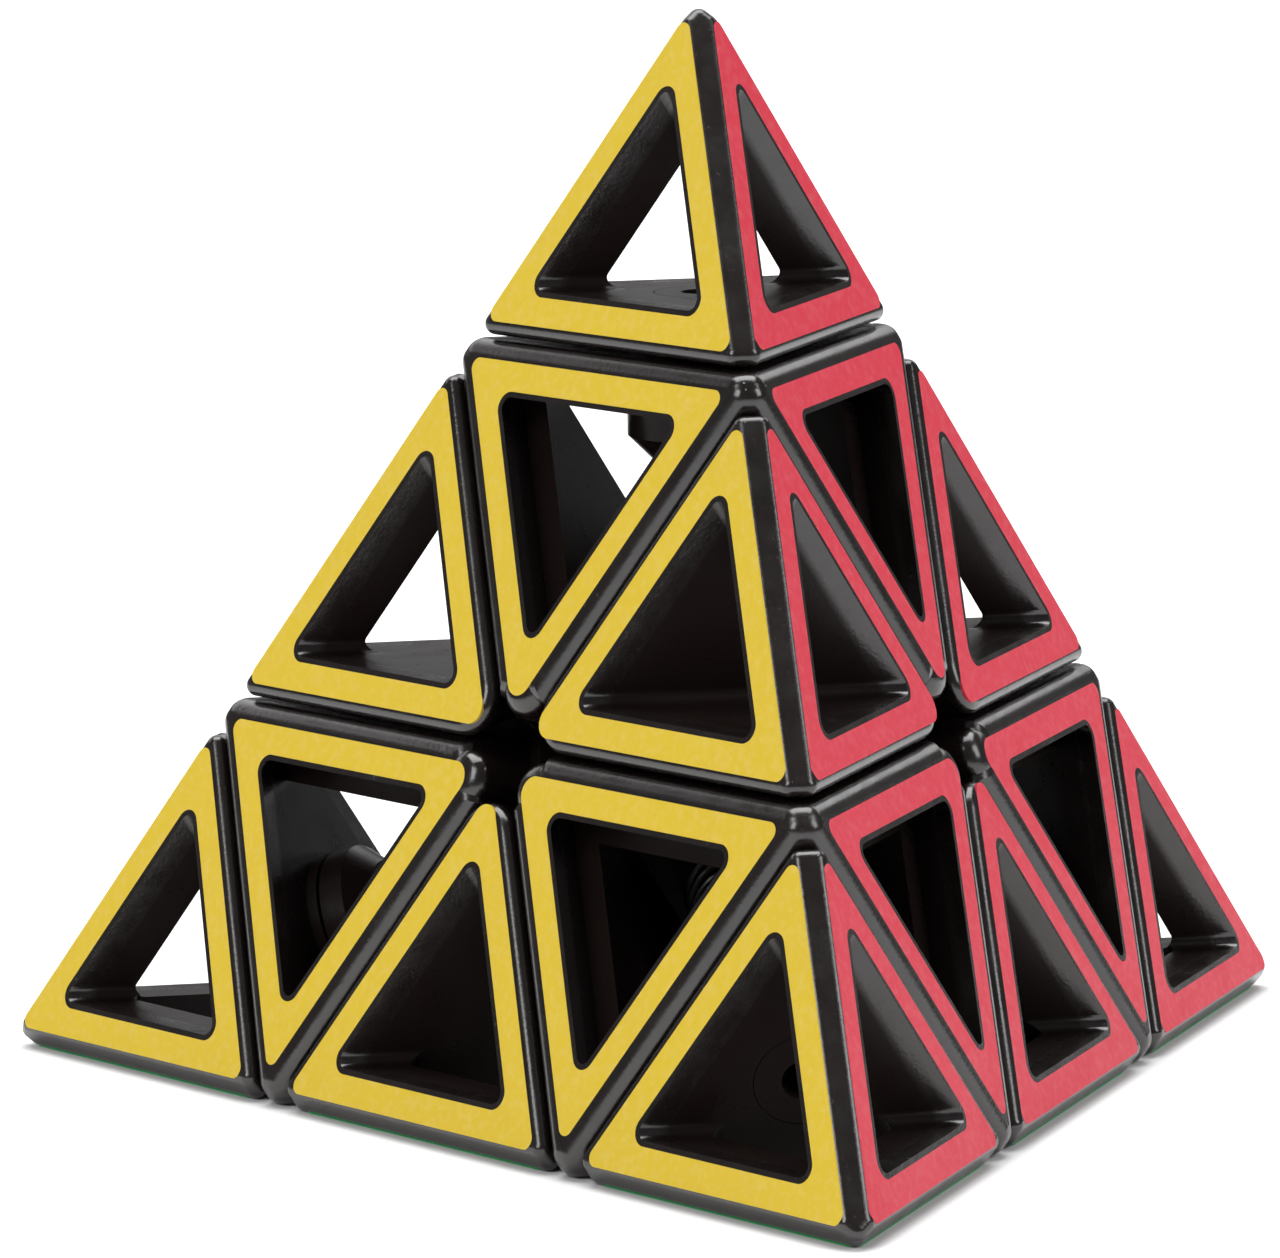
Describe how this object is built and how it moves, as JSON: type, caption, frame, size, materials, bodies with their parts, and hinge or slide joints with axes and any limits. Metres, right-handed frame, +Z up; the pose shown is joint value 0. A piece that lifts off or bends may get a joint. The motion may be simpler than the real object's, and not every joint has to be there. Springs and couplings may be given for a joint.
{
  "type": "pyramid twisty puzzle",
  "caption": "Hollow tetrahedral twisty puzzle in glossy black plastic, with triangular coloured bands, turning corner layers and spinning tips round a sprung core.",
  "frame": {"origin": "the middle of the puzzle, where its four turning axes meet, 19.85 mm above the face that it stands on", "axes": "+Z straight up through the top corner, -Y towards the front corner, +X to the right"},
  "size_m": [0.093, 0.081, 0.0766],
  "materials": {
    "black_plastic": "glossy black ABS",
    "core_plastic": "satin black nylon",
    "steel": "blackened steel",
    "sticker_yellow": "satin vinyl",
    "sticker_red": "satin vinyl",
    "sticker_blue": "satin vinyl",
    "sticker_green": "satin vinyl"
  },
  "bodies": {
    "core": {"axis_screws": "steel", "axis_springs": "steel", "axis_washers": "steel", "core": "core_plastic"},
    "axial_top": {"axial_frame_top": "black_plastic", "sticker_blue_axial_top": "sticker_blue", "sticker_red_axial_top": "sticker_red", "sticker_yellow_axial_top": "sticker_yellow"},
    "tip_top": {"tip_frame_top": "black_plastic", "tip_clip_top": "black_plastic", "sticker_blue_tip_top": "sticker_blue", "sticker_red_tip_top": "sticker_red", "sticker_yellow_tip_top": "sticker_yellow"},
    "axial_front": {"axial_frame_front": "black_plastic", "sticker_green_axial_front": "sticker_green", "sticker_red_axial_front": "sticker_red", "sticker_yellow_axial_front": "sticker_yellow"},
    "tip_front": {"tip_frame_front": "black_plastic", "tip_clip_front": "black_plastic", "sticker_green_tip_front": "sticker_green", "sticker_red_tip_front": "sticker_red", "sticker_yellow_tip_front": "sticker_yellow"},
    "axial_left": {"axial_frame_left": "black_plastic", "sticker_blue_axial_left": "sticker_blue", "sticker_green_axial_left": "sticker_green", "sticker_yellow_axial_left": "sticker_yellow"},
    "tip_left": {"tip_frame_left": "black_plastic", "tip_clip_left": "black_plastic", "sticker_blue_tip_left": "sticker_blue", "sticker_green_tip_left": "sticker_green", "sticker_yellow_tip_left": "sticker_yellow"},
    "axial_right": {"axial_frame_right": "black_plastic", "sticker_blue_axial_right": "sticker_blue", "sticker_green_axial_right": "sticker_green", "sticker_red_axial_right": "sticker_red"},
    "tip_right": {"tip_frame_right": "black_plastic", "tip_clip_right": "black_plastic", "sticker_blue_tip_right": "sticker_blue", "sticker_green_tip_right": "sticker_green", "sticker_red_tip_right": "sticker_red"},
    "edge_top_left": {"edge_frame_top_left": "black_plastic", "sticker_blue_edge_top_left": "sticker_blue", "sticker_yellow_edge_top_left": "sticker_yellow"},
    "edge_top_front": {"edge_frame_top_front": "black_plastic", "sticker_red_edge_top_front": "sticker_red", "sticker_yellow_edge_top_front": "sticker_yellow"},
    "edge_top_right": {"edge_frame_top_right": "black_plastic", "sticker_blue_edge_top_right": "sticker_blue", "sticker_red_edge_top_right": "sticker_red"},
    "edge_left_front": {"edge_frame_left_front": "black_plastic", "sticker_green_edge_left_front": "sticker_green", "sticker_yellow_edge_left_front": "sticker_yellow"},
    "edge_front_right": {"edge_frame_front_right": "black_plastic", "sticker_green_edge_front_right": "sticker_green", "sticker_red_edge_front_right": "sticker_red"},
    "edge_left_right": {"edge_frame_left_right": "black_plastic", "sticker_blue_edge_left_right": "sticker_blue", "sticker_green_edge_left_right": "sticker_green"}
  },
  "joints": [
    {"name": "layer_top", "type": "hinge", "parent": "core", "child": "axial_top", "pos_m": [0, 0, 0], "axis": [0, 0, 1], "range_deg": [0, 120]},
    {"name": "layer_front", "type": "hinge", "parent": "core", "child": "axial_front", "pos_m": [0, 0, 0], "axis": [0, -0.9428, -0.3333], "range_deg": [0, 120]},
    {"name": "layer_left", "type": "hinge", "parent": "core", "child": "axial_left", "pos_m": [0, 0, 0], "axis": [-0.8165, 0.4714, -0.3333], "range_deg": [0, 120]},
    {"name": "layer_right", "type": "hinge", "parent": "core", "child": "axial_right", "pos_m": [0, 0, 0], "axis": [0.8165, 0.4714, -0.3333], "range_deg": [0, 120]},
    {"name": "tip_top_spin", "type": "hinge", "parent": "axial_top", "child": "tip_top", "pos_m": [0, 0, 0], "axis": [0, 0, 1], "continuous": true},
    {"name": "tip_front_spin", "type": "hinge", "parent": "axial_front", "child": "tip_front", "pos_m": [0, 0, 0], "axis": [0, -0.9428, -0.3333], "continuous": true},
    {"name": "tip_left_spin", "type": "hinge", "parent": "axial_left", "child": "tip_left", "pos_m": [0, 0, 0], "axis": [-0.8165, 0.4714, -0.3333], "continuous": true},
    {"name": "tip_right_spin", "type": "hinge", "parent": "axial_right", "child": "tip_right", "pos_m": [0, 0, 0], "axis": [0.8165, 0.4714, -0.3333], "continuous": true},
    {"name": "edge_top_left_follow", "type": "hinge", "parent": "axial_top", "child": "edge_top_left", "pos_m": [0, 0, 0], "axis": [-0.8165, 0.4714, -0.3333], "range_deg": [0, 120]},
    {"name": "edge_top_front_follow", "type": "hinge", "parent": "axial_top", "child": "edge_top_front", "pos_m": [0, 0, 0], "axis": [0, -0.9428, -0.3333], "range_deg": [0, 120]},
    {"name": "edge_top_right_follow", "type": "hinge", "parent": "axial_top", "child": "edge_top_right", "pos_m": [0, 0, 0], "axis": [0.8165, 0.4714, -0.3333], "range_deg": [0, 120]},
    {"name": "edge_left_front_follow", "type": "hinge", "parent": "axial_left", "child": "edge_left_front", "pos_m": [0, 0, 0], "axis": [0, -0.9428, -0.3333], "range_deg": [0, 120]},
    {"name": "edge_front_right_follow", "type": "hinge", "parent": "axial_front", "child": "edge_front_right", "pos_m": [0, 0, 0], "axis": [0.8165, 0.4714, -0.3333], "range_deg": [0, 120]},
    {"name": "edge_left_right_follow", "type": "hinge", "parent": "axial_right", "child": "edge_left_right", "pos_m": [0, 0, 0], "axis": [-0.8165, 0.4714, -0.3333], "range_deg": [0, 120]}
  ],
  "couplings": [
    {"joint": "edge_top_left_follow", "follows": "layer_left", "ratio": 1},
    {"joint": "edge_top_front_follow", "follows": "layer_front", "ratio": 1},
    {"joint": "edge_top_right_follow", "follows": "layer_right", "ratio": 1},
    {"joint": "edge_left_front_follow", "follows": "layer_front", "ratio": 1},
    {"joint": "edge_front_right_follow", "follows": "layer_right", "ratio": 1},
    {"joint": "edge_left_right_follow", "follows": "layer_left", "ratio": 1}
  ]
}
